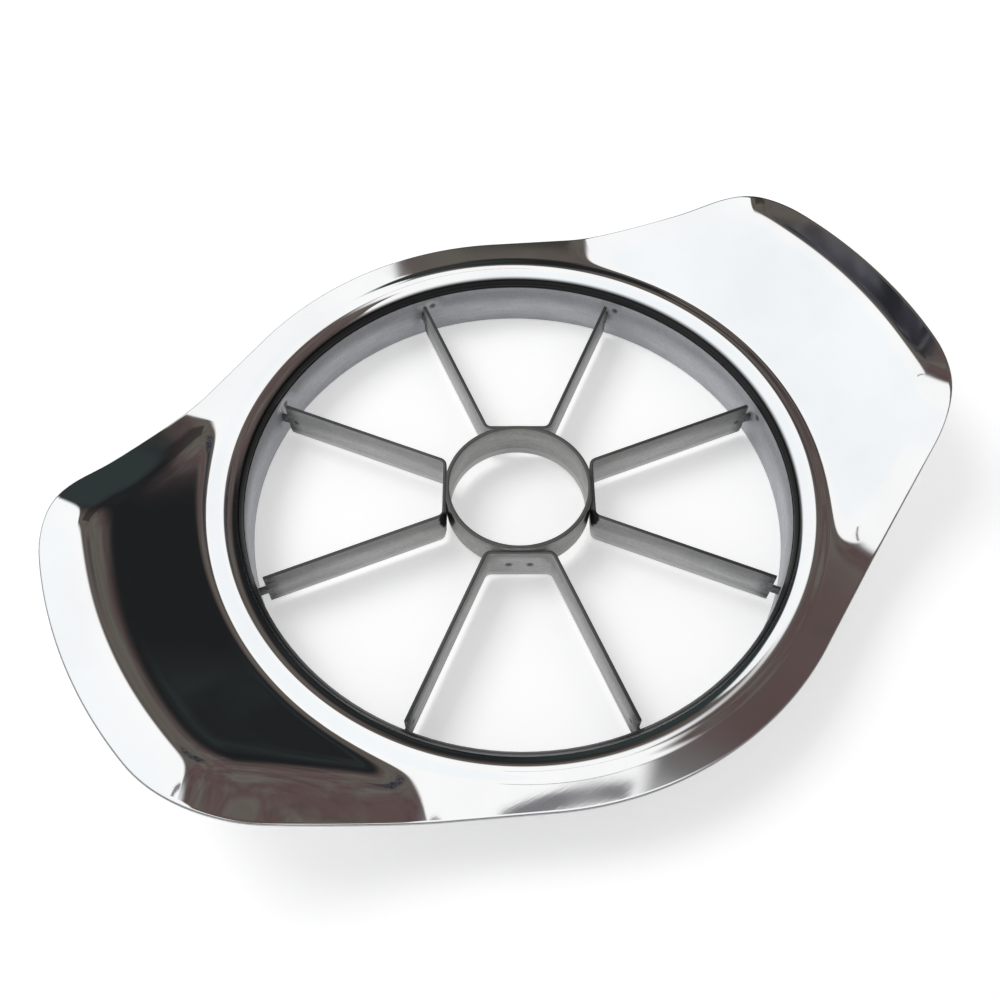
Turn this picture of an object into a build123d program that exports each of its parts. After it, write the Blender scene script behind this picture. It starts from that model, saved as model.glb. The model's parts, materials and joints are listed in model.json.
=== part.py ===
from build123d import *
from math import acos, asin, cos, degrees, hypot, pi, radians, sin, sqrt, tan
import os

# Press-down apple slicer and corer in thin stainless sheet.
# A pressed body with two upturned wing grips holds a blade ring in its rolled opening.
# Four bent blade strips reach from the corer ring in the middle to slots in the blade ring.
# Millimetres. Origin on the ring's axis at its bottom rim, +X along the wings, +Z up.

# Blade ring: a flat band rolled into a hoop
ring_inner_radius = 49.2
ring_wall = 0.8
ring_height = 9.9
ring_edge_chamfer = 0.15
ring_outer_radius = ring_inner_radius + ring_wall

# Blade strips: each one is bent into a U that makes two blades
blade_thickness = 0.6
blade_height = 8.15
blade_turn = -30.5          # direction of the first strip from +X, degrees
blade_half_angle = 22.5     # each leg from its strip's own direction, degrees
blade_line_offset = 0.25    # each leg's middle line passes the axis at this distance
blade_bend_radius = 1.4     # on the middle line
blade_end_radius = 47.8     # where a blade stops short of the ring
blade_edge_height = 1.5     # height of the ground edge
blade_edge_flat = 0.12      # width left on the cutting edge
blade_below_ring = 0.6      # the blades' upper edges lie this far under the ring's top rim
blade_top = ring_height - blade_below_ring
blade_bottom = blade_top - blade_height

# Tenons: a small tongue at each blade's end, seated in a slot of the ring
tenon_height = 1.8
tenon_middle = blade_bottom + blade_height / 2

# Corer ring
corer_inner_radius = 12.55
corer_wall = 0.8
corer_height = 7.85
corer_above_blades = 0.85
corer_seat_depth = 0.2      # flats on its outside where the strips are welded
corer_edge_height = 1.6
corer_edge_flat = 0.15
corer_outer_radius = corer_inner_radius + corer_wall
corer_top = blade_top + corer_above_blades
corer_bottom = corer_top - corer_height
strip_inner_face = corer_outer_radius - corer_seat_depth

# Spot-weld dimples
weld_width = 1.4
weld_depth = 0.12
strip_weld_spacing = 3.8    # two on the flat of each strip
ring_weld_offset = 1.9      # one beside each blade end
ring_weld_below_top = 2.6
weld_ball_radius = (weld_width**2 / 4 + weld_depth**2) / (2 * weld_depth)

# Pressed body
sheet = 0.8
flange_width = 9.4          # from the ring's outside to the flange's edge
crown_run = 3.0             # from the ring's outside to the bead's highest line
mouth_round = 4.2           # outside radius of the rolled mouth
mouth_edge_inset = 0.05     # the mouth's edge covers the ring's top rim but for this
mouth_edge_height = 0.14    # upright face left at that edge
collar_overlap = 3.4        # how far the collar reaches down outside the ring
bead_height = 0.25
bead_fall_angle = 14.0      # slope of the bead's outer flank
bead_width = 4.7            # from the ring's outside to the bead's foot
flange_radius = ring_outer_radius + flange_width
bead_outer_radius = ring_outer_radius + bead_width
crown_radius = ring_outer_radius + crown_run
mouth_edge_radius = ring_inner_radius + mouth_edge_inset
mouth_lean = degrees(acos((crown_radius - mouth_edge_radius) / mouth_round))
roll_rise = mouth_round * (1 - sin(radians(mouth_lean)))
crown_top = ring_height + mouth_edge_height + roll_rise
flange_top = crown_top - bead_height
collar_bottom = ring_height - collar_overlap

# Wings, seen from above
wing_length = 19.7          # from the flange's circle to the tip arc
wing_side_angle = 64.0      # direction of each side's normal from the wing's axis
wing_corner_radius = 24.0
wing_tip_radius = flange_radius + wing_length

# Wings, heights over the flange along the radius
ramp_start = 5.6            # from the ring's outside to the foot of the ramp
ramp_angle = 35.8
lip_width = 7.5
lip_angle = 5.0
ramp_foot_blend = 1.3
lip_blend = 1.5
ramp_foot_radius = ring_outer_radius + ramp_start
lip_radius = wing_tip_radius - lip_width

# Wings, side rims folded level along lines parallel to the sides
side_rim_width = 8.7
side_rim_blend = 2.6
side_droop = 0.13           # slope of the rims where they hang lowest
droop_delay = 6.7           # how far past the ramp's foot the rims begin to hang
droop_tail = 6.4            # how far past the lip's bend they would be level again
side_rim_distance = flange_radius - side_rim_width
droop_start = sqrt(ramp_foot_radius**2 - side_rim_distance**2) + droop_delay
droop_end = sqrt(lip_radius**2 - side_rim_distance**2) + droop_tail

# Overlaps inside the fused body, so that no two faces nearly coincide
bead_lap = 0.5              # the sheet's inner edge lies this far inside the bead's foot
bead_extra = 0.2            # the bead is thicker than the sheet by this much
under_chords = 3            # flats that make up the hidden side of the rolled mouth
sector_extra = 0.03         # the flange is thicker than the wings by this much on each side
sector_gap_angle = 1.0      # from a wing side's direction to the flange's end
sector_lap_angle = 2.0      # angle over which flange and wing overlap
wing_inner_radius = bead_outer_radius - bead_lap
sector_half_angle = 90 - wing_side_angle - sector_gap_angle

# Patch of points that the wing sheet is drawn through, a little larger than the wing
patch_margin = 2.0
patch_rows = 80
patch_columns = 40
patch_tolerance = 0.04
patch_half_angle = wing_side_angle + sector_gap_angle + sector_lap_angle
patch_inner_radius = wing_inner_radius - patch_margin / 2
patch_outer_radius = wing_tip_radius + patch_margin


def blend(distance, half_width):
    # zero before the bend, straight after it, a parabola between
    if distance <= -half_width:
        return 0.0
    if distance >= half_width:
        return distance
    return (distance + half_width) ** 2 / (4 * half_width)


def rise(radius):
    ramp = blend(radius - ramp_foot_radius, ramp_foot_blend) * tan(radians(ramp_angle))
    levelling = tan(radians(ramp_angle)) - tan(radians(lip_angle))
    return ramp - blend(radius - lip_radius, lip_blend) * levelling


def wing_height(x, y):
    # across: distance from the centre towards the nearer side edge
    # along: distance along that edge from where it leaves the flange's circle
    side = radians(wing_side_angle)
    across = x * cos(side) + abs(y) * sin(side)
    along = max(0.0, x * sin(side) - abs(y) * cos(side))
    beyond = across - side_rim_distance
    held = side_rim_distance + (beyond - hypot(beyond, side_rim_blend)) / 2
    reach = min(1.0, max(0.0, (along - droop_start) / (droop_end - droop_start)))
    droop = side_droop * sin(pi * reach) ** 2 * (across - held)
    return flange_top + rise(hypot(held, along)) - droop


def wing_point(angle, radius):
    x = radius * cos(radians(angle))
    y = radius * sin(radians(angle))
    return Vector(x, y, wing_height(x, y))


def wing_outline():
    # two sides tangent to the flange's circle, a tip arc about the ring's axis, round corners
    side = radians(wing_side_angle)
    root_x = flange_radius * cos(side)
    root_y = flange_radius * sin(side)
    run = (wing_tip_radius**2 - flange_radius**2) ** 0.5
    corner_x = root_x + run * sin(side)
    corner_y = root_y - run * cos(side)
    upper = Line((root_x, root_y), (corner_x, corner_y))
    tip = ThreePointArc((corner_x, corner_y), (wing_tip_radius, 0), (corner_x, -corner_y))
    lower = Line((corner_x, -corner_y), (root_x, -root_y))
    back = Line((root_x, -root_y), (root_x, root_y))
    face = make_face([upper, tip, lower, back])
    corners = face.vertices().sort_by(Axis.X)[-2:]
    return fillet(corners, wing_corner_radius)


def make_wing():
    turn = 2 * patch_half_angle / patch_rows
    step = (patch_outer_radius - patch_inner_radius) / patch_columns
    angles = [i * turn - patch_half_angle for i in range(patch_rows + 1)]
    radii = [patch_inner_radius + i * step for i in range(patch_columns + 1)]
    points = [[wing_point(angle, radius) for radius in radii] for angle in angles]
    patch = Face.make_surface_from_array_of_points(points, tol=patch_tolerance, min_deg=3)
    pressed = Solid.thicken(patch, -sheet, normal_override=(0, 0, 1))
    plan = wing_outline() + Circle(flange_radius) - Circle(wing_inner_radius)
    return pressed & extrude(plan, amount=2 * flange_top + wing_length)


def make_flange_sector():
    profile = Plane.XZ * Pos((wing_inner_radius + flange_radius) / 2, flange_top - sheet / 2)
    section = profile * Rectangle(flange_radius - wing_inner_radius, sheet + 2 * sector_extra)
    sector = revolve(section, axis=Axis.Z, revolution_arc=2 * sector_half_angle)
    return Rot(0, 0, 90 - sector_half_angle) * sector


def make_mouth():
    # low bead, rolled mouth whose edge lies on the ring's rim, and the collar outside the ring
    roll_turn = bead_fall_angle + 90 - mouth_lean
    centre = (crown_radius, crown_top - mouth_round)
    roll = CenterArc(centre, mouth_round, 180 - mouth_lean, -roll_turn)
    fall_start = roll @ 1
    fall_run = bead_outer_radius - fall_start.X
    fall_end = (bead_outer_radius, fall_start.Y - fall_run * tan(radians(bead_fall_angle)))
    under_round = mouth_round - sheet
    under_z = flange_top - sheet - bead_extra - under_round
    under_turn = asin((crown_run - sheet) / under_round)
    turns = [radians(90) + i * under_turn / under_chords for i in range(under_chords + 1)]
    under = [(crown_radius + under_round * cos(t), under_z + under_round * sin(t)) for t in turns]
    collar = [(ring_outer_radius + sheet, collar_bottom), (ring_outer_radius, collar_bottom)]
    rim = [(ring_outer_radius, ring_height), (mouth_edge_radius, ring_height)]
    rest = [fall_end, (bead_outer_radius, under[0][1]), *under, *collar, *rim, roll @ 0]
    outline = [roll, Line(fall_start, fall_end), Polyline(*rest)]
    return revolve(Plane.XZ * make_face(outline), axis=Axis.Z)


def make_body():
    wing = make_wing()
    sector = make_flange_sector()
    half_turn = Rot(0, 0, 180)
    return make_mouth() + [wing, half_turn * wing, sector, half_turn * sector]


def blade_angles():
    strips = [blade_turn + 90 * i for i in range(4)]
    return [angle + side * blade_half_angle for angle in strips for side in (1, -1)]


def leg_line(side):
    # corner where a leg leaves the strip's flat, and a point well outside the ring
    lean = radians(blade_half_angle)
    flat_x = strip_inner_face + blade_thickness / 2
    corner_y = (blade_line_offset + flat_x * sin(lean)) / cos(lean)
    far = 1.1 * ring_outer_radius
    far_x = far * cos(lean) - blade_line_offset * sin(lean)
    far_y = far * sin(lean) + blade_line_offset * cos(lean)
    return (flat_x, side * corner_y), (far_x, side * far_y)


def make_blade_strip(turn):
    low_corner, low_end = leg_line(-1)
    high_corner, high_end = leg_line(1)
    path = FilletPolyline(low_end, low_corner, high_corner, high_end, radius=blade_bend_radius)
    section = trace(path, line_width=blade_thickness)
    strip = Pos(0, 0, blade_bottom) * extrude(section, amount=blade_height)
    grind = (blade_thickness - blade_edge_flat) / 2
    under = strip.faces().sort_by(Axis.Z)[0]
    strip = chamfer(under.edges(), length=grind, length2=blade_edge_height, reference=under)
    reach = Pos(0, 0, ring_height / 2) * Cylinder(blade_end_radius, 2 * ring_height)
    reach += Pos(0, 0, tenon_middle) * Cylinder(ring_outer_radius, tenon_height)
    strip &= reach
    outer_face = strip_inner_face + blade_thickness
    ball_x = outer_face + weld_ball_radius - weld_depth
    for side in (-1, 1):
        strip -= Pos(ball_x, side * strip_weld_spacing / 2, tenon_middle) * Sphere(weld_ball_radius)
    return Rot(0, 0, turn) * strip


def make_blade_ring():
    middle = Pos(ring_inner_radius + ring_wall / 2, ring_height / 2)
    section = middle * Rectangle(ring_wall, ring_height)
    section = chamfer(section.vertices().group_by(Axis.Y)[0], ring_edge_chamfer)
    ring = revolve(Plane.XZ * section, axis=Axis.Z)
    weld_z = ring_height - ring_weld_below_top
    ball_x = ring_inner_radius - weld_ball_radius + weld_depth
    turn = degrees(asin(ring_weld_offset / ring_inner_radius))
    for angle in blade_angles():
        ring -= Rot(0, 0, angle - turn) * Pos(ball_x, 0, weld_z) * Sphere(weld_ball_radius)
    slot = Box(4 * ring_wall, blade_thickness, tenon_height)
    for strip_turn in (blade_turn + 90 * i for i in range(4)):
        for side in (-1, 1):
            leg = Rot(0, 0, side * blade_half_angle) * Pos(ring_outer_radius, side * blade_line_offset, 0)
            ring -= Rot(0, 0, strip_turn) * leg * Pos(0, 0, tenon_middle) * slot
    return ring


def make_corer_ring():
    # a straight bore, so that the core slides through, and an edge ground from the outside
    points = [
        (corer_inner_radius, corer_bottom),
        (corer_inner_radius + corer_edge_flat, corer_bottom),
        (corer_outer_radius, corer_bottom + corer_edge_height),
        (corer_outer_radius, corer_top),
        (corer_inner_radius, corer_top),
    ]
    section = make_face(Polyline(*points, close=True))
    ring = revolve(Plane.XZ * section, axis=Axis.Z)
    ring = chamfer(ring.edges().group_by(Axis.Z)[-1], 0.12)
    seat = Pos(strip_inner_face + corer_wall, 0, corer_top - corer_height / 2)
    seat_block = Box(2 * corer_wall, corer_outer_radius, 2 * corer_height)
    for i in range(4):
        ring -= Rot(0, 0, blade_turn + 90 * i) * seat * seat_block
    return ring


def main():
    os.makedirs("parts", exist_ok=True)
    parts = {
        "body": make_body(),
        "blade_ring": make_blade_ring(),
        "corer_ring": make_corer_ring(),
        "blade_strip_front_right": make_blade_strip(blade_turn),
        "blade_strip_back_right": make_blade_strip(blade_turn + 90),
        "blade_strip_back_left": make_blade_strip(blade_turn + 180),
        "blade_strip_front_left": make_blade_strip(blade_turn + 270),
    }
    for name, part in parts.items():
        export_step(part, f"parts/{name}.step")
        print(name, len(part.solids()), round(part.volume, 1))


main()
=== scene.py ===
import json
import math

import bpy
import numpy as np
from mathutils import Matrix, Vector

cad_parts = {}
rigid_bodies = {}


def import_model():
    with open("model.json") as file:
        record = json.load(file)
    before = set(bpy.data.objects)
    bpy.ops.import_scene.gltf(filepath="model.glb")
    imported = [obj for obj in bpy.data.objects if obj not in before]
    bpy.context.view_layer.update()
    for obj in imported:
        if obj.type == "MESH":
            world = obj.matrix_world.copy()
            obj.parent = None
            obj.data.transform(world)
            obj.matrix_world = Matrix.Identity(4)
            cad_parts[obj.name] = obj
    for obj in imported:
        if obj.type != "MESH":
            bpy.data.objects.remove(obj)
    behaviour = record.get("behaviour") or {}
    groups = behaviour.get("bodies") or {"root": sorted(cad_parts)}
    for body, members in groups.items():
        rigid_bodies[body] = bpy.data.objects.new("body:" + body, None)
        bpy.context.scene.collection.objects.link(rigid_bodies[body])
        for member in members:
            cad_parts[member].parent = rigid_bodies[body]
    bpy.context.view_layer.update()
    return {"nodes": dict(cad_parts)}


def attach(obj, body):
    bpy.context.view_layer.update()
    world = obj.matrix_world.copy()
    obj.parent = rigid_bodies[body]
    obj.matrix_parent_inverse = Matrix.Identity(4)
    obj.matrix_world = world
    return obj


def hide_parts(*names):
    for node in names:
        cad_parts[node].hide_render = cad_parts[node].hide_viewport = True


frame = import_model()
print("frame loaded:", sorted(frame["nodes"]))

mm = 0.001                         # lengths are millimetres and angles degrees, unless a note says otherwise


def inMetres(values):
    return tuple(value * mm for value in values)


def newMaterial(name):
    material = bpy.data.materials.new(name)
    material.use_nodes = True
    tree = material.node_tree
    return material, tree, tree.nodes["Principled BSDF"]


def setMaterial(obj, material):
    obj.data.materials.clear()
    obj.data.materials.append(material)
    for polygon in obj.data.polygons:
        polygon.material_index = 0


def node(tree, kind, **values):
    # each value goes to the input of its name, or else to the node's own setting
    made = tree.nodes.new(kind)
    for name, value in values.items():
        if name in made.inputs:
            made.inputs[name].default_value = value
        else:
            setattr(made, name, value)
    return made


def feed(tree, value, socket):
    # numbers and colours are set, and what another node gives is linked
    if isinstance(value, (int, float, tuple)):
        socket.default_value = value
    else:
        tree.links.new(value, socket)


def mathNode(tree, operation, *values):
    made = node(tree, "ShaderNodeMath", operation=operation)
    for value, socket in zip(values, made.inputs):
        feed(tree, value, socket)
    return made.outputs[0]


def oneMinus(tree, value):
    return mathNode(tree, "SUBTRACT", 1.0, value)


def remap(tree, value, low, high, toLow=0.0, toHigh=1.0, interpolation="LINEAR"):
    # low to high becomes toLow to toHigh, held beyond both ends
    made = node(tree, "ShaderNodeMapRange", clamp=True, interpolation_type=interpolation)
    for name, number in (("From Min", low), ("From Max", high), ("To Min", toLow), ("To Max", toHigh)):
        made.inputs[name].default_value = number
    tree.links.new(value, made.inputs["Value"])
    return made.outputs["Result"]


def smoothStep(tree, value, low, high):
    return remap(tree, value, low, high, interpolation="SMOOTHSTEP")


def between(tree, value, low, high, soft):
    # 1 from low to high, with soft ends
    rising = smoothStep(tree, value, low - soft, low + soft)
    falling = oneMinus(tree, smoothStep(tree, value, high - soft, high + soft))
    return mathNode(tree, "MULTIPLY", rising, falling)


def mixColour(tree, amount, first, second):
    made = node(tree, "ShaderNodeMix", data_type="RGBA")
    tree.links.new(amount, made.inputs["Factor"])
    colours = [socket for socket in made.inputs if socket.type == "RGBA"]
    feed(tree, first, colours[0])
    feed(tree, second, colours[1])
    return [socket for socket in made.outputs if socket.type == "RGBA"][0]


def stretchedNoise(tree, scale, detail, roughness, turn=0.0):
    # noise in the object's own metres, stretched by the three scales
    place = tree.nodes.new("ShaderNodeTexCoord")
    mapping = node(tree, "ShaderNodeMapping", Rotation=(0, 0, math.radians(turn)), Scale=scale)
    tree.links.new(place.outputs["Object"], mapping.inputs["Vector"])
    noise = node(tree, "ShaderNodeTexNoise", Scale=1.0, Detail=detail, Roughness=roughness)
    tree.links.new(mapping.outputs["Vector"], noise.inputs["Vector"])
    return noise.outputs["Fac"]


def axisDistance(tree):
    # each point's distance from the ring's upright axis, in metres
    place = tree.nodes.new("ShaderNodeTexCoord")
    level = node(tree, "ShaderNodeVectorMath", operation="MULTIPLY")
    level.inputs[1].default_value = (1.0, 1.0, 0.0)
    tree.links.new(place.outputs["Object"], level.inputs[0])
    radius = node(tree, "ShaderNodeVectorMath", operation="LENGTH")
    tree.links.new(level.outputs["Vector"], radius.inputs[0])
    return radius.outputs["Value"]


def bumpChain(tree, layers):
    # each layer is (height, strength, depth)
    normal = None
    for height, strength, depth in layers:
        bump = node(tree, "ShaderNodeBump", Strength=strength, Distance=depth * mm)
        tree.links.new(height, bump.inputs["Height"])
        if normal is not None:
            tree.links.new(normal, bump.inputs["Normal"])
        normal = bump.outputs["Normal"]
    return normal


mirrorLook = {
    "colour": (0.95, 0.952, 0.955, 1.0),
    "hazed": (0.90, 0.902, 0.91, 1.0),
    "haze": {"scale": (55, 55, 55), "detail": 3.0, "roughness": 0.55},
    "hazeRange": (0.35, 0.7),
    "roughRange": (0.03, 0.075),       # where it is clear, and where it is hazed
    "buffing": {"scale": (260, 2600, 900), "detail": 5.0, "roughness": 0.6, "turn": 18.0},
    "buffingRange": (0.62, 0.8),
    "buffingRough": 0.05,
    "buffingBump": 0.12,
    "buffingDepth": 0.004,
    "wave": {"scale": (38, 38, 38), "detail": 1.0, "roughness": 0.4},
    "waveBump": 0.35,
    "waveDepth": 0.06,
    "underRange": (0.1, 0.4),          # steps between the numbers in sheetSide
    "underRough": 0.16,
    "edgeRange": (0.7, 0.95),
    "edgeColour": (0.5, 0.5, 0.51, 1.0),
    "edgeRough": 0.42,
    "jointShadeRange": (49.9, 50.6),        # painted shade, dark up to the first radius, gone from the second
    # the painted shade in the joint of mouth and ring, and its roughness
    "jointShadeColour": (0.016, 0.016, 0.017, 1.0),
    "jointShadeRough": 0.4,
    "shadeMetalRange": (49.7, 49.9),         # the painted shade is not metal up to the first radius, all metal from the second
}


def makeMirrorSteel():
    # polished sheet: faint press waves, fine buffing lines and hazy patches, with a plainer underside,
    # a sheared edge, and painted shade in the joint of mouth and ring
    m = mirrorLook
    material, tree, shader = newMaterial("mirrorPolishedSheet")
    haze = stretchedNoise(tree, **m["haze"])
    buffing = stretchedNoise(tree, **m["buffing"])
    wave = stretchedNoise(tree, **m["wave"])
    side = node(tree, "ShaderNodeAttribute", attribute_name="sheetSide").outputs["Fac"]
    under = smoothStep(tree, side, *m["underRange"])
    edge = smoothStep(tree, side, *m["edgeRange"])
    radius = axisDistance(tree)
    # painted shade in the joint of mouth and ring: dark, dull and not metal there
    unshaded = smoothStep(tree, radius, *inMetres(m["jointShadeRange"]))
    colour = mixColour(tree, remap(tree, haze, *m["hazeRange"]), m["colour"], m["hazed"])
    colour = mixColour(tree, edge, colour, m["edgeColour"])
    colour = mixColour(tree, unshaded, m["jointShadeColour"], colour)
    tree.links.new(colour, shader.inputs["Base Color"])
    tree.links.new(smoothStep(tree, radius, *inMetres(m["shadeMetalRange"])), shader.inputs["Metallic"])
    rough = remap(tree, haze, *m["hazeRange"], *m["roughRange"])
    rough = mathNode(tree, "ADD", rough, remap(tree, buffing, *m["buffingRange"], 0.0, m["buffingRough"]))
    # the painted shade in the joint is rougher too
    jointShade = oneMinus(tree, unshaded)
    for share, name in ((under, "underRough"), (edge, "edgeRough"), (jointShade, "jointShadeRough")):
        rough = mathNode(tree, "MAXIMUM", rough, mathNode(tree, "MULTIPLY", share, m[name]))
    tree.links.new(rough, shader.inputs["Roughness"])
    layers = [(wave, m["waveBump"], m["waveDepth"]), (buffing, m["buffingBump"], m["buffingDepth"])]
    tree.links.new(bumpChain(tree, layers), shader.inputs["Normal"])
    return material


# radii are from the ring's upright axis, and heights from its bottom rim
bodyShape = {
    "sheet": 0.8,
    "edgeRound": 0.34,
    "ringRadius": 50.0,                # the collar's inside
    "ringTop": 9.9,
    "collarBottom": 6.5,
    "mouthEdge": 49.25,                # the mouth ends at this radius, on the ring's rim
    "mouthEdgeHeight": 0.13,           # over the ring's rim
    "mouthRound": 4.2,
    "cutRound": 0.05,
    "crownRadius": 53.0,               # the bead's highest line
    "beadHeight": 0.25,
    "beadFade": 2.0,                   # the bead falls to the flange over this distance
    "flangeTop": 12.0986,
    "flangeRadius": 59.38,
    "tipRadius": 79.04,
    "sideAngle": 64.0,                 # the outline's straight sides leave the flange's circle here
    "cornerRadius": 24.0,
    "rampFoot": 55.6,
    "footBlend": 1.3,
    "rampAngle": 37.2,
    "lipRadius": 70.7,
    "lipBlend": 3.4,
    "lipAngle": 5.0,
    "rimDistance": 50.7,               # the side rims bend along a line this far from the axis
    "rimBlend": 2.6,
    "footFlare": 1.5,                  # that line is this much farther out at the wing's foot
    "flareRange": (20.0, 34.0),        # and back in between these distances along the rim
    "droop": 0.13,                     # the rims' steepest fall towards the edge
    "droopRange": (29.52, 56.96),      # they fall between these distances along the rim
    "turns": 480,                      # points in each row round the axis
    "cutRows": 4,
    "rollRows": 24,
    "sheetRows": 64,
    "underRows": 8,
    "capRows": 5,
    "slopeStep": 0.01,
}

# marks that tell the steel which side of the sheet it is on
sheetSide = {"polished": 0.0, "plain": 0.5, "sheared": 1.0}


def bend(distance, halfWidth):
    # 0 before a bend and the distance after it, with a parabola from one to the other
    middle = (distance + halfWidth) ** 2 / (4 * halfWidth)
    return np.where(distance <= -halfWidth, 0.0, np.where(distance >= halfWidth, distance, middle))


def shareOf(value, low, high):
    return np.clip((value - low) / (high - low), 0.0, 1.0)


def bodyHeight(x, y):
    # the pressed sheet's top, over the ring's bottom rim
    s = bodyShape
    side = math.radians(s["sideAngle"])
    across = np.abs(x) * math.cos(side) + np.abs(y) * math.sin(side)
    along = np.maximum(0.0, np.abs(x) * math.sin(side) - np.abs(y) * math.cos(side))
    far = shareOf(along, *s["flareRange"])
    rim = s["rimDistance"] + s["footFlare"] * (1 - far * far * (3 - 2 * far))
    beyond = across - rim
    held = rim + (beyond - np.hypot(beyond, s["rimBlend"])) / 2
    radius = np.hypot(held, along)
    ramp = math.tan(math.radians(s["rampAngle"]))
    lip = math.tan(math.radians(s["lipAngle"]))
    rise = bend(radius - s["rampFoot"], s["footBlend"]) * ramp
    rise = rise - bend(radius - s["lipRadius"], s["lipBlend"]) * (ramp - lip)
    droop = s["droop"] * np.sin(np.pi * shareOf(along, *s["droopRange"])) ** 2 * (across - held)
    fade = shareOf(np.hypot(x, y), s["crownRadius"], s["crownRadius"] + s["beadFade"])
    bead = s["beadHeight"] * (1 + np.cos(np.pi * fade)) / 2
    return s["flangeTop"] + rise - droop + bead


def bodyUp(x, y):
    # unit normal of the sheet's top
    step = bodyShape["slopeStep"]
    slopeX = (bodyHeight(x + step, y) - bodyHeight(x - step, y)) / (2 * step)
    slopeY = (bodyHeight(x, y + step) - bodyHeight(x, y - step)) / (2 * step)
    up = np.stack([-slopeX, -slopeY, np.ones_like(x)], 1)
    return up / np.linalg.norm(up, axis=1)[:, None]


def outlineRadius(angle):
    # plan outline of one quarter, folded to all four: flange, straight side, round corner, tip arc
    s = bodyShape
    side = math.radians(s["sideAngle"])
    turn = np.abs(np.arctan2(np.sin(angle), np.cos(angle)))
    turn = np.minimum(turn, np.pi - turn)
    straight = s["flangeRadius"] / np.cos(turn - side)
    radius = np.where(turn >= side, s["flangeRadius"], np.minimum(straight, s["tipRadius"]))
    # the corner's circle touches the tip arc and the straight side from inside
    middle = s["tipRadius"] - s["cornerRadius"]
    middleTurn = side - math.acos((s["flangeRadius"] - s["cornerRadius"]) / middle)
    middleX = middle * math.cos(middleTurn)
    middleY = middle * math.sin(middleTurn)
    endX = middleX + s["cornerRadius"] * math.cos(side)
    endY = middleY + s["cornerRadius"] * math.sin(side)
    ahead = middleX * np.cos(turn) + middleY * np.sin(turn)
    offset = middleX * np.sin(turn) - middleY * np.cos(turn)
    corner = ahead + np.sqrt(np.maximum(s["cornerRadius"] ** 2 - offset**2, 0.0))
    return np.where((turn > middleTurn) & (turn < math.atan2(endY, endX)), corner, radius)


def roundCap(top, along, up):
    # rows that carry the section round the sheet's cut edge, from its top to its underside
    sheet, radius = bodyShape["sheet"], bodyShape["edgeRound"]
    turns = np.linspace(0, math.pi / 2, bodyShape["capRows"])
    upper = [top + along * radius * math.sin(a) - up * radius * (1 - math.cos(a)) for a in turns]
    low = top - up * (sheet - radius)
    lower = [low + along * radius * math.cos(a) - up * radius * math.sin(a) for a in turns]
    return upper + lower


def mouthPlaces(rollZ):
    # radius, height and finish: up the collar's inside, over the ring's rim, round the cut edge, up the roll
    s = bodyShape
    places = []
    for height in (s["collarBottom"] + s["edgeRound"], s["ringTop"]):
        places.append((s["ringRadius"], height, "plain"))
    for turn in np.linspace(0, math.pi / 2, s["cutRows"]):
        radius = s["mouthEdge"] + s["cutRound"] * (1 - math.sin(turn))
        height = s["ringTop"] + s["cutRound"] * (1 - math.cos(turn))
        places.append((radius, height, "sheared" if turn else "plain"))
    places.append((s["mouthEdge"], s["ringTop"] + s["mouthEdgeHeight"], "sheared"))
    lean = math.acos((s["crownRadius"] - s["mouthEdge"]) / s["mouthRound"])
    for tilt in np.linspace(lean, math.pi / 2, s["rollRows"], endpoint=False):
        radius = s["crownRadius"] - s["mouthRound"] * math.cos(tilt)
        places.append((radius, rollZ + s["mouthRound"] * math.sin(tilt), "polished"))
    return places


def bodySection():
    # rows of points round the axis, in order round the sheet's section, and the finish of each row
    s = bodyShape
    angles = np.linspace(0, 2 * np.pi, s["turns"], endpoint=False)
    outward = np.stack([np.cos(angles), np.sin(angles), np.zeros_like(angles)], 1)
    upward = np.tile([0.0, 0.0, 1.0], (s["turns"], 1))
    rollZ = s["flangeTop"] + s["beadHeight"] - s["mouthRound"]
    places = mouthPlaces(rollZ)
    mouth = [outward * radius + upward * height for radius, height, finish in places]
    tops, ups = [], []
    outline = outlineRadius(angles) - s["edgeRound"]
    for share in np.linspace(0, 1, s["sheetRows"]):
        x, y = (s["crownRadius"] + (outline - s["crownRadius"]) * share) * outward[:, :2].T
        tops.append(np.stack([x, y, bodyHeight(x, y)], 1))
        ups.append(bodyUp(x, y))
    along = tops[-1] - tops[-2]
    along /= np.linalg.norm(along, axis=1)[:, None]
    # a cap's first row is the row it starts from, so it is left out
    edge = roundCap(tops[-1], along, ups[-1])[1:]
    foot = roundCap(mouth[0], -upward, -outward)[:0:-1]
    under = [top - up * s["sheet"] for top, up in zip(tops[-2::-1], ups[-2::-1])]
    underRound = s["mouthRound"] - s["sheet"]
    lean = math.acos((s["crownRadius"] - s["ringRadius"] - s["sheet"]) / underRound)
    for tilt in np.linspace(math.pi / 2, lean, s["underRows"] + 1)[1:]:
        radius = s["crownRadius"] - underRound * math.cos(tilt)
        under.append(outward * radius + upward * (rollZ + underRound * math.sin(tilt)))
    finishes = [finish for radius, height, finish in places] + ["polished"] * len(tops)
    finishes += ["sheared"] * len(edge) + ["plain"] * len(under) + ["sheared"] * len(foot)
    return np.stack(mouth + tops + edge + under + foot), finishes


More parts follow.
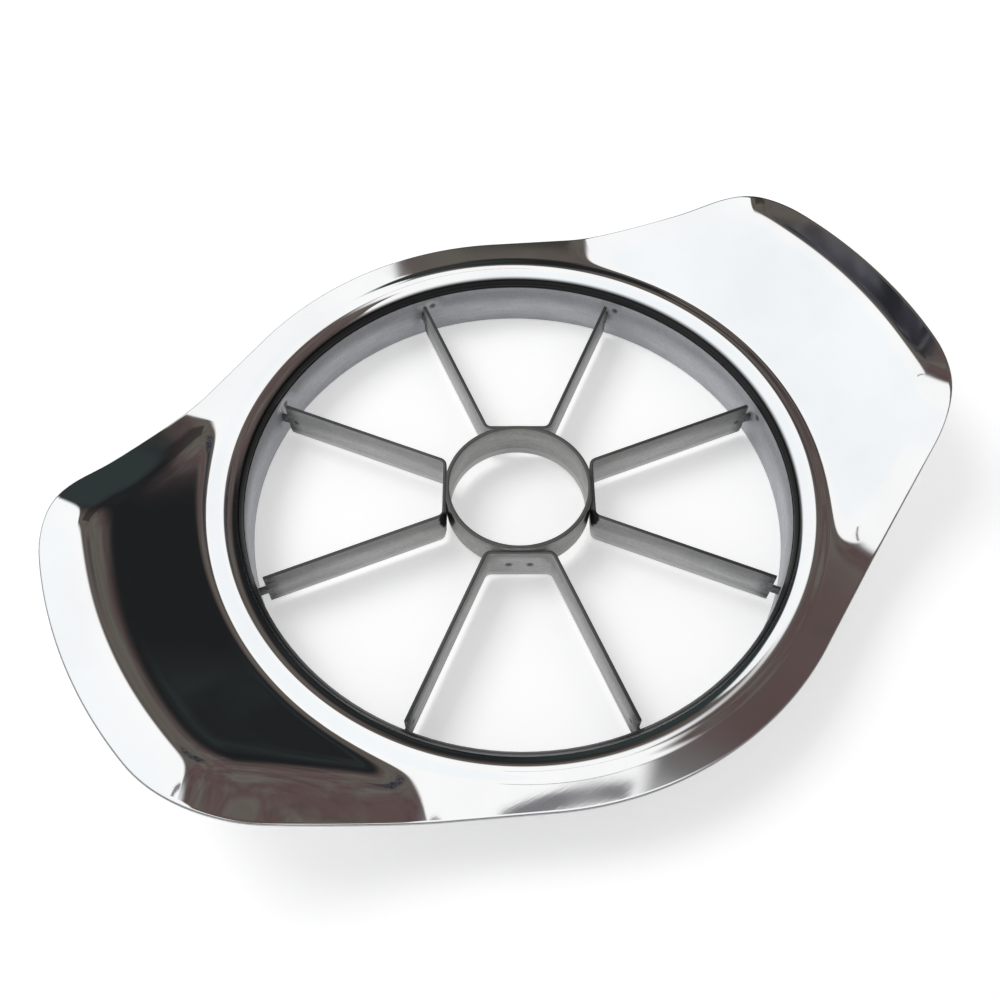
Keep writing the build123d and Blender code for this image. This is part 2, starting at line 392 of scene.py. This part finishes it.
def buildBody():
    points, finishes = bodySection()
    rowCount, turnCount = points.shape[:2]
    faces = []
    for i in range(rowCount):
        j = (i + 1) % rowCount
        for k in range(turnCount):
            m = (k + 1) % turnCount
            faces.append((i * turnCount + k, j * turnCount + k, j * turnCount + m, i * turnCount + m))
    mesh = bpy.data.meshes.new("pressedBody")
    mesh.from_pydata((points * mm).reshape(-1, 3).tolist(), [], faces)
    side = mesh.attributes.new("sheetSide", "FLOAT", "POINT")
    marks = [sheetSide[finish] for finish in finishes]
    side.data.foreach_set("value", np.repeat(marks, turnCount).astype(np.float32))
    for polygon in mesh.polygons:
        polygon.use_smooth = True
    body = bpy.data.objects.new("pressedBody", mesh)
    bpy.context.scene.collection.objects.link(body)
    return body


mirrorSteel = makeMirrorSteel()
pressedBody = buildBody()
setMaterial(pressedBody, mirrorSteel)
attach(pressedBody, "root")
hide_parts("body")
print("pressed body:", len(pressedBody.data.polygons), "faces")


satinLook = {
    "metallic": 0.65,
    "anisotropic": 0.15,
    "grain": {"scale": (160, 160, 3600), "detail": 5.0, "roughness": 0.65},
    "grainRange": (0.3, 0.7),
    "grainBump": 0.35,
    "grainDepth": 0.008,
    "roughRange": (0.5, 0.63),
    "patches": {"scale": (140, 140, 240), "detail": 4.0, "roughness": 0.6},
    "patchBump": 0.2,
    "patchDepth": 0.02,
    "speckle": {"scale": (1500, 1500, 1800), "detail": 3.0, "roughness": 0.6},
    "mottleRange": (1.25, 1.75),
    "grinding": {"scale": (4200, 4200, 90), "detail": 3.0, "roughness": 0.6},
    "groundColour": (0.60, 0.605, 0.61, 1.0),
    "groundShare": 0.7,
    "heatAndShade": (0.07, 0.069, 0.072, 1.0),
    "heatAndShadeRange": (0.75, 1.2),
    "heatAndShadeShare": (0.4, 0.85),
    "weldRange": (0.3, 0.9),           # darkest up to the first distance from a weld, clean from the second
    "weldShare": 0.85,
    # painted shade for the gaps between the strips and the corer ring
    "gapShade": (0.012, 0.012, 0.012, 1.0),
    "gapShadeRange": (1.25, 1.72),
    "gapShadeShare": 0.97,
}

# the ground edge ends between the heights of edgeRange, and painted shade darkens the upper rim between the
# rim heights;
# ends darken with heat tint and painted shade beyond the radii of endRange, which lie outside a piece that
# has no such ends
bandLook = {
    "colour": (0.55, 0.558, 0.585, 1.0),
    "darker": (0.46, 0.467, 0.49, 1.0),
    "edgeRange": (-1.0, 0.3),
    "rimShadeRange": (9.3, 9.6),
    "rimShadeColour": (0.015, 0.015, 0.017, 1.0),
    "endRange": (60.0, 61.0),
}

bladeLook = {
    "colour": (0.55, 0.55, 0.545, 1.0),
    "darker": (0.45, 0.45, 0.445, 1.0),
    "edgeRange": (2.45, 2.85),
    "rimShadeRange": (9.2, 9.28),
    "rimShadeColour": (0.13, 0.13, 0.127, 1.0),
    "endRange": (44.8, 47.4),
}

corerLook = {
    "colour": (0.48, 0.478, 0.465, 1.0),
    "darker": (0.36, 0.357, 0.34, 1.0),
    "edgeRange": (3.7, 4.1),
    "rimShadeRange": (9.98, 10.1),
    "rimShadeColour": (0.14, 0.14, 0.135, 1.0),
    "endRange": (60.0, 61.0),
}


def darkSpots(tree, spots, distances, most):
    # how dark it is round the spots: most up to the first distance from one, nothing from the second
    place = tree.nodes.new("ShaderNodeTexCoord")
    total = None
    for spot in spots:
        away = node(tree, "ShaderNodeVectorMath", operation="DISTANCE")
        away.inputs[1].default_value = inMetres(spot)
        tree.links.new(place.outputs["Object"], away.inputs[0])
        fade = oneMinus(tree, smoothStep(tree, away.outputs["Value"], *inMetres(distances)))
        total = fade if total is None else mathNode(tree, "MAXIMUM", total, fade)
    return mathNode(tree, "MULTIPLY", total, most)


def makeSatinSteel(name, look, turn=0.0, welds=(), gapShade=()):
    # rolled strip: grain runs level, the ground edge is paler with upright grinding marks,
    # and heat darkens the welds
    s = satinLook
    material, tree, shader = newMaterial(name)
    shader.inputs["Metallic"].default_value = s["metallic"]
    shader.inputs["Anisotropic"].default_value = s["anisotropic"]
    grain = stretchedNoise(tree, turn=turn, **s["grain"])
    patches = stretchedNoise(tree, turn=turn, **s["patches"])
    speckle = stretchedNoise(tree, turn=turn, **s["speckle"])
    grinding = stretchedNoise(tree, turn=turn, **s["grinding"])
    place = tree.nodes.new("ShaderNodeTexCoord")
    split = tree.nodes.new("ShaderNodeSeparateXYZ")
    tree.links.new(place.outputs["Object"], split.inputs["Vector"])
    height = split.outputs["Z"]
    edge = oneMinus(tree, smoothStep(tree, height, *inMetres(look["edgeRange"])))
    mottle = mathNode(tree, "ADD", mathNode(tree, "ADD", grain, patches), speckle)
    colour = mixColour(tree, remap(tree, mottle, *s["mottleRange"]), look["colour"], look["darker"])
    colour = mixColour(tree, mathNode(tree, "MULTIPLY", edge, s["groundShare"]), colour, s["groundColour"])
    # heat tint and painted shade darken the ends where the blades meet the band; the welds get heat tint
    # alone
    uneven = remap(tree, mathNode(tree, "ADD", patches, speckle), *s["heatAndShadeRange"], *s["heatAndShadeShare"])
    ends = smoothStep(tree, axisDistance(tree), *inMetres(look["endRange"]))
    heatAndShade = mathNode(tree, "MULTIPLY", ends, uneven)
    if welds:
        heatAndShade = mathNode(tree, "MAXIMUM", heatAndShade, darkSpots(tree, welds, s["weldRange"], s["weldShare"]))
    colour = mixColour(tree, heatAndShade, colour, s["heatAndShade"])
    # painted shade darkens the upper rim
    colour = mixColour(tree, smoothStep(tree, height, *inMetres(look["rimShadeRange"])), colour, look["rimShadeColour"])
    # painted shade in the gaps between the strips and the corer ring
    if gapShade:
        colour = mixColour(tree, darkSpots(tree, gapShade, s["gapShadeRange"], s["gapShadeShare"]), colour, s["gapShade"])
    tree.links.new(colour, shader.inputs["Base Color"])
    tree.links.new(remap(tree, grain, *s["grainRange"], *s["roughRange"]), shader.inputs["Roughness"])
    lines = node(tree, "ShaderNodeMix", data_type="FLOAT")
    for name, value in (("Factor", edge), ("A", grain), ("B", grinding)):
        tree.links.new(value, lines.inputs[name])
    layers = [(patches, s["patchBump"], s["patchDepth"]),
              (lines.outputs["Result"], s["grainBump"], s["grainDepth"])]
    tree.links.new(bumpChain(tree, layers), shader.inputs["Normal"])
    return material


bladeSet = {
    "strips": ("front_right", "back_right", "back_left", "front_left"),
    "turn": -30.5,                     # the first strip's middle, from the right wing's
    "halfAngle": 22.5,                 # from a strip's middle to each of its two blades
    "outerFace": 13.75,                # the strips' welded flats stand this far out
    "weldHalfSpacing": 1.9,
    "weldHeight": 5.225,
    "endSpotRadius": 46.2,
    "ringWeldTurn": 2.21,
    "ringWeldRadius": 49.2,
    "ringWeldHeight": 7.3,
    # two runs of painted shade, down the gaps between strips and corer ring at the left and the right
    "gapShadeSpots": ((-14.35, 0.9, 8.6), (-14.05, 1.55, 7.4), (-13.7, 2.2, 6.2),
                  (8.05, -11.75, 8.6), (8.5, -11.2, 7.4), (9.0, -10.65, 6.2)),
    "joinWithin": 0.002,               # nearer corners are joined, so that round faces shade as one
    "sharpFrom": 28.0,                 # edges with a larger angle stay sharp
}


def weldPlace(turn, radius, across, height):
    a = math.radians(turn)
    x = radius * math.cos(a) - across * math.sin(a)
    y = radius * math.sin(a) + across * math.cos(a)
    return x, y, height


def dressRingsAndBlades():
    b = bladeSet
    ringWelds = []
    for i, name in enumerate(b["strips"]):
        turn = b["turn"] + 90 * i
        welds = []
        for side in (-1, 1):
            blade = turn + side * b["halfAngle"]
            onRing = blade - b["ringWeldTurn"]
            welds.append(weldPlace(turn, b["outerFace"], side * b["weldHalfSpacing"], b["weldHeight"]))
            welds.append(weldPlace(blade, b["endSpotRadius"], 0.0, b["weldHeight"]))
            ringWelds.append(weldPlace(onRing, b["ringWeldRadius"], 0.0, b["ringWeldHeight"]))
        steel = makeSatinSteel("groundBladeSteel_" + name, bladeLook, turn, welds, b["gapShadeSpots"])
        setMaterial(frame["nodes"]["blade_strip_" + name], steel)
    bandSteel = makeSatinSteel("rolledBandSteel", bandLook, welds=ringWelds)
    setMaterial(frame["nodes"]["blade_ring"], bandSteel)
    tubeSteel = makeSatinSteel("corerTubeSteel", corerLook, gapShade=b["gapShadeSpots"])
    setMaterial(frame["nodes"]["corer_ring"], tubeSteel)


def smoothRoundFaces(item):
    join = item.modifiers.new("joinEdges", "WELD")
    join.merge_threshold = bladeSet["joinWithin"] * mm
    for polygon in item.data.polygons:
        polygon.use_smooth = True
    item.data.set_sharp_from_angle(angle=math.radians(bladeSet["sharpFrom"]))


dressRingsAndBlades()
for name, item in frame["nodes"].items():
    if name != "body":
        smoothRoundFaces(item)
print("rings and blades dressed")


# lengths in metres
stage = {
    "floorSize": 3.0,
    "floorColour": (0.93, 0.93, 0.93, 1.0),
    "floorRough": 0.9,
    "liftRange": (0.25, 1.2),
    "lift": (0.32, 0.6),               # the floor's own light at the two distances of liftRange
    "worldLevel": 0.55,                # the studio's brightness as a light
    "lampFrom": (-0.55, 0.25, 0.85),
    "lampSize": 0.5,
    "lampPower": 3.6,
    "roomTurn": 33.3,                  # the room and its lamp stand turned from the part by this much
}


def seenDirectly(tree):
    # 1 where the view, a mirror or clear material shows this, and 0 where it only gives light
    path = tree.nodes.new("ShaderNodeLightPath")
    seen = mathNode(tree, "MAXIMUM", path.outputs["Is Camera Ray"], path.outputs["Is Glossy Ray"])
    return mathNode(tree, "MAXIMUM", seen, path.outputs["Is Transmission Ray"])


def makeFloor():
    size = stage["floorSize"]
    mesh = bpy.data.meshes.new("studioFloor")
    corners = [(-size, -size, 0), (size, -size, 0), (size, size, 0), (-size, size, 0)]
    mesh.from_pydata(corners, [], [(0, 1, 2, 3)])
    floor = bpy.data.objects.new("studioFloor", mesh)
    bpy.context.scene.collection.objects.link(floor)
    material, tree, shader = newMaterial("paleFloor")
    shader.inputs["Base Color"].default_value = stage["floorColour"]
    shader.inputs["Roughness"].default_value = stage["floorRough"]
    shader.inputs["Specular IOR Level"].default_value = 0.0
    shader.inputs["Emission Color"].default_value = (1, 1, 1, 1)
    # the lift grows with distance, so that the far floor meets the white background
    lift = remap(tree, axisDistance(tree), *stage["liftRange"], *stage["lift"])
    tree.links.new(mathNode(tree, "MULTIPLY", seenDirectly(tree), lift), shader.inputs["Emission Strength"])
    setMaterial(floor, material)


room = {
    # skyline of the dark part of the room: azimuth and the elevation it reaches
    "skyline": [(-180, 22), (-155, 26), (-125, 34), (-100, 40), (-50, 40), (-25, 42), (-12, 70), (-5, 72),
                (60, 72), (65, 72.5), (67.5, 69), (82, 58.5), (100, 46.5),
                (101, 38), (103, 31), (108, 25), (114, 21), (180, 21)],
    "skylineSoft": 2.5,
    "open": (1.0, 1.0, 1.0, 1.0),
    "cool": (0.95, 0.985, 1.0, 1.0),
    "bar": (0.185, 0.183, 0.196, 1.0),
    "brown": (0.106, 0.071, 0.070, 1.0),
    "olive": (0.128, 0.118, 0.103, 1.0),
    "moss": (0.112, 0.104, 0.089, 1.0),
    "mist": (0.165, 0.167, 0.166, 1.0),
    "ink": (0.022, 0.021, 0.018, 1.0),
    "dusk": (0.050, 0.045, 0.043, 1.0),
    "black": (0.013, 0.014, 0.015, 1.0),
    "teal": (0.030, 0.039, 0.039, 1.0),
    "slate": (0.042, 0.041, 0.052, 1.0),
    "glint": (0.15, 0.155, 0.175, 1.0),
    # unevenness in three sizes
    "large": {"Scale": 8.0, "Detail": 3.0},
    "small": {"Scale": 26.0, "Detail": 3.0},
    "fine": {"Scale": 64.0, "Detail": 2.0},
    # as the unevenness goes from the first number to the second,
    # a colour's share goes from the third to the last
    "oliveMix": (0.42, 0.62, 0.0, 1.0),
    "duskMix": (0.5, 0.75, 0.0, 0.45),
    "blackMix": (0.42, 0.56, 0.0, 0.8),
    "glintMix": (0.53, 0.66, 0.0, 0.8),
    "murkMix": (0.4, 0.6, 0.1, 0.55),
    # things in the room: lowest and highest azimuth and elevation, how soft both are, and how much shows
    "olivePatch": ((51.0, 62.0), (53.3, 56.0), (3.0, 0.6), 1.0),
    "brownPatch": ((46.0, 62.0), (57.2, 66.5), (3.0, 0.8), 0.85),
    "mossPatch": ((64.0, 135.0), (38.0, 64.0), (4.0, 3.0), 0.65),
    "mistPatch": ((54.0, 75.0), (69.0, 90.0), (3.0, 2.5), 1.0),
    "inkLine": ((85.0, 95.5), (0.0, 43.62), (1.2, 0.25), 0.75),
    "slatePatch": ((62.0, 80.0), (48.5, 54.5), (4.0, 1.2), 1.0),
    "murkPatch": ((69.0, 140.0), (-90.0, 25.0), (4.0, 5.0), 1.0),
    "tealPatch": ((92.0, 125.0), (-60.0, 30.0), (4.0, 5.0), 1.0),
    "backWall": ((36.0, 140.0), (-90.0, 34.0), (6.0, 7.0), 1.0),
    "frontWall": ((-135.0, -45.0), (-90.0, 42.0), (8.0, 3.0), 1.0),
    "floorLine": (14.0, 22.0),         # black all round below the first elevation, and not above the second
    # from, to, and how soft the ends are
    "warmSide": (-60.0, 118.0, 20.0),
    "barAzimuth": (67.6, 91.0, 0.8),
    "barElevation": (62.2, 63.3, 0.14),
    "barClimb": 0.139,                 # the bar rises this much for each degree of azimuth
}


def directionParts(tree):
    # azimuth, counter-clockwise from the room's right, and elevation
    place = tree.nodes.new("ShaderNodeTexCoord")
    mapping = node(tree, "ShaderNodeMapping", Rotation=(0, 0, math.radians(stage["roomTurn"])))
    tree.links.new(place.outputs["Generated"], mapping.inputs["Vector"])
    split = tree.nodes.new("ShaderNodeSeparateXYZ")
    tree.links.new(mapping.outputs["Vector"], split.inputs["Vector"])
    azimuth = mathNode(tree, "DEGREES", mathNode(tree, "ARCTAN2", split.outputs["Y"], split.outputs["X"]))
    elevation = mathNode(tree, "DEGREES", mathNode(tree, "ARCSINE", split.outputs["Z"]))
    return azimuth, elevation


def roomNoise(tree, name):
    place = tree.nodes.new("ShaderNodeTexCoord")
    noise = node(tree, "ShaderNodeTexNoise", **room[name])
    tree.links.new(place.outputs["Generated"], noise.inputs["Vector"])
    return noise.outputs["Fac"]


def roomPatch(tree, azimuth, elevation, name):
    azimuths, elevations, soft, most = room[name]
    inside = mathNode(tree, "MULTIPLY", between(tree, azimuth, *azimuths, soft[0]),
                      between(tree, elevation, *elevations, soft[1]))
    return mathNode(tree, "MULTIPLY", inside, most)


def skylineHeight(tree, azimuth):
    skyline = tree.nodes.new("ShaderNodeFloatCurve")
    curve = skyline.mapping.curves[0]
    places = [((a + 180) / 360, e / 90) for a, e in room["skyline"]]
    curve.points[0].location = places[0]
    curve.points[1].location = places[-1]
    for place in places[1:-1]:
        curve.points.new(*place)
    for point in curve.points:
        point.handle_type = "VECTOR"
    skyline.mapping.update()
    around = mathNode(tree, "DIVIDE", mathNode(tree, "ADD", azimuth, 180.0), 360.0)
    tree.links.new(around, skyline.inputs["Value"])
    return mathNode(tree, "MULTIPLY", skyline.outputs["Value"], 90.0)


def openSide(tree, azimuth, elevation):
    # white, a little cooler outside warmSide, with a sloping grey bar that the near flange shows
    cool = oneMinus(tree, between(tree, azimuth, *room["warmSide"]))
    bright = mixColour(tree, cool, room["open"], room["cool"])
    level = mathNode(tree, "MULTIPLY_ADD", azimuth, -room["barClimb"], elevation)
    bar = mathNode(tree, "MULTIPLY", between(tree, azimuth, *room["barAzimuth"]),
                   between(tree, level, *room["barElevation"]))
    return mixColour(tree, bar, bright, room["bar"])


def darkSide(tree, azimuth, elevation):
    # brown and olive walls with paler and darker things before them, and black low down
    large, small, fine = [roomNoise(tree, name) for name in ("large", "small", "fine")]

    def patch(name):
        return roomPatch(tree, azimuth, elevation, name)

    shade = mixColour(tree, remap(tree, large, *room["oliveMix"]), room["brown"], room["olive"])
    for name, colour in (("olivePatch", "olive"), ("brownPatch", "brown"), ("mossPatch", "moss")):
        shade = mixColour(tree, patch(name), shade, room[colour])
    shade = mixColour(tree, remap(tree, small, *room["duskMix"]), shade, room["dusk"])
    for name, colour in (("mistPatch", "mist"), ("inkLine", "ink")):
        shade = mixColour(tree, patch(name), shade, room[colour])
    slate = mixColour(tree, remap(tree, small, *room["blackMix"]), room["slate"], room["black"])
    slate = mixColour(tree, remap(tree, fine, *room["glintMix"]), slate, room["glint"])
    shade = mixColour(tree, patch("slatePatch"), shade, slate)
    murk = mathNode(tree, "MULTIPLY", remap(tree, large, *room["murkMix"]), patch("murkPatch"))
    dim = mixColour(tree, murk, room["black"], room["teal"])
    black = oneMinus(tree, smoothStep(tree, elevation, *room["floorLine"]))
    for name in ("backWall", "frontWall"):
        black = mathNode(tree, "MAXIMUM", black, patch(name))
    shade = mixColour(tree, black, shade, dim)
    return mixColour(tree, patch("tealPatch"), shade, room["teal"])


def makeWorld():
    # an open white studio whose dark side only bright metal shows
    world = bpy.data.worlds.new("softStudio")
    bpy.context.scene.world = world
    world.use_nodes = True
    tree = world.node_tree
    tree.nodes.clear()
    azimuth, elevation = directionParts(tree)
    depth = mathNode(tree, "SUBTRACT", skylineHeight(tree, azimuth), elevation)
    dark = smoothStep(tree, depth, -room["skylineSoft"], room["skylineSoft"])
    seen = mixColour(tree, dark, openSide(tree, azimuth, elevation), darkSide(tree, azimuth, elevation))
    mirrored = tree.nodes.new("ShaderNodeBackground")
    tree.links.new(seen, mirrored.inputs["Color"])
    plain = node(tree, "ShaderNodeBackground", Color=(1, 1, 1, 1))
    level = mathNode(tree, "MAXIMUM", seenDirectly(tree), stage["worldLevel"])
    tree.links.new(level, plain.inputs["Strength"])
    path = tree.nodes.new("ShaderNodeLightPath")
    mixed = tree.nodes.new("ShaderNodeMixShader")
    tree.links.new(path.outputs["Is Glossy Ray"], mixed.inputs["Fac"])
    tree.links.new(plain.outputs["Background"], mixed.inputs[1])
    tree.links.new(mirrored.outputs["Background"], mixed.inputs[2])
    output = tree.nodes.new("ShaderNodeOutputWorld")
    tree.links.new(mixed.outputs["Shader"], output.inputs["Surface"])


def makeSoftLamp():
    light = bpy.data.lights.new("keySoftbox", "AREA")
    light.shape = "SQUARE"
    light.size = stage["lampSize"]
    light.energy = stage["lampPower"]
    lamp = bpy.data.objects.new("keySoftbox", light)
    lamp.location = Matrix.Rotation(math.radians(-stage["roomTurn"]), 3, "Z") @ Vector(stage["lampFrom"])
    lamp.rotation_mode = "QUATERNION"
    lamp.rotation_quaternion = (-lamp.location).to_track_quat("-Z", "Y")
    lamp.visible_glossy = False
    bpy.context.scene.collection.objects.link(lamp)


# lengths in metres, except the sensor and the lens
viewSetup = {
    "place": (-0.054942, -0.083641, 0.162874),
    "tilt": 32.3361,
    "lean": -0.3405,
    "turn": -30.8432,
    "sensor": 36.0,
    "lens": 36.412,
    "nearest": 0.005,
    "farthest": 20.0,
}


def makeCamera():
    v = viewSetup
    data = bpy.data.cameras.new("viewCamera")
    data.lens = v["lens"]
    data.sensor_width = v["sensor"]
    data.clip_start = v["nearest"]
    data.clip_end = v["farthest"]
    camera = bpy.data.objects.new("viewCamera", data)
    camera.location = v["place"]
    camera.rotation_euler = [math.radians(v[angle]) for angle in ("tilt", "lean", "turn")]
    bpy.context.scene.collection.objects.link(camera)
    bpy.context.scene.camera = camera


makeFloor()
makeWorld()
makeSoftLamp()
makeCamera()
bpy.context.scene.view_settings.view_transform = "Standard"
print("stage, light and camera ready")
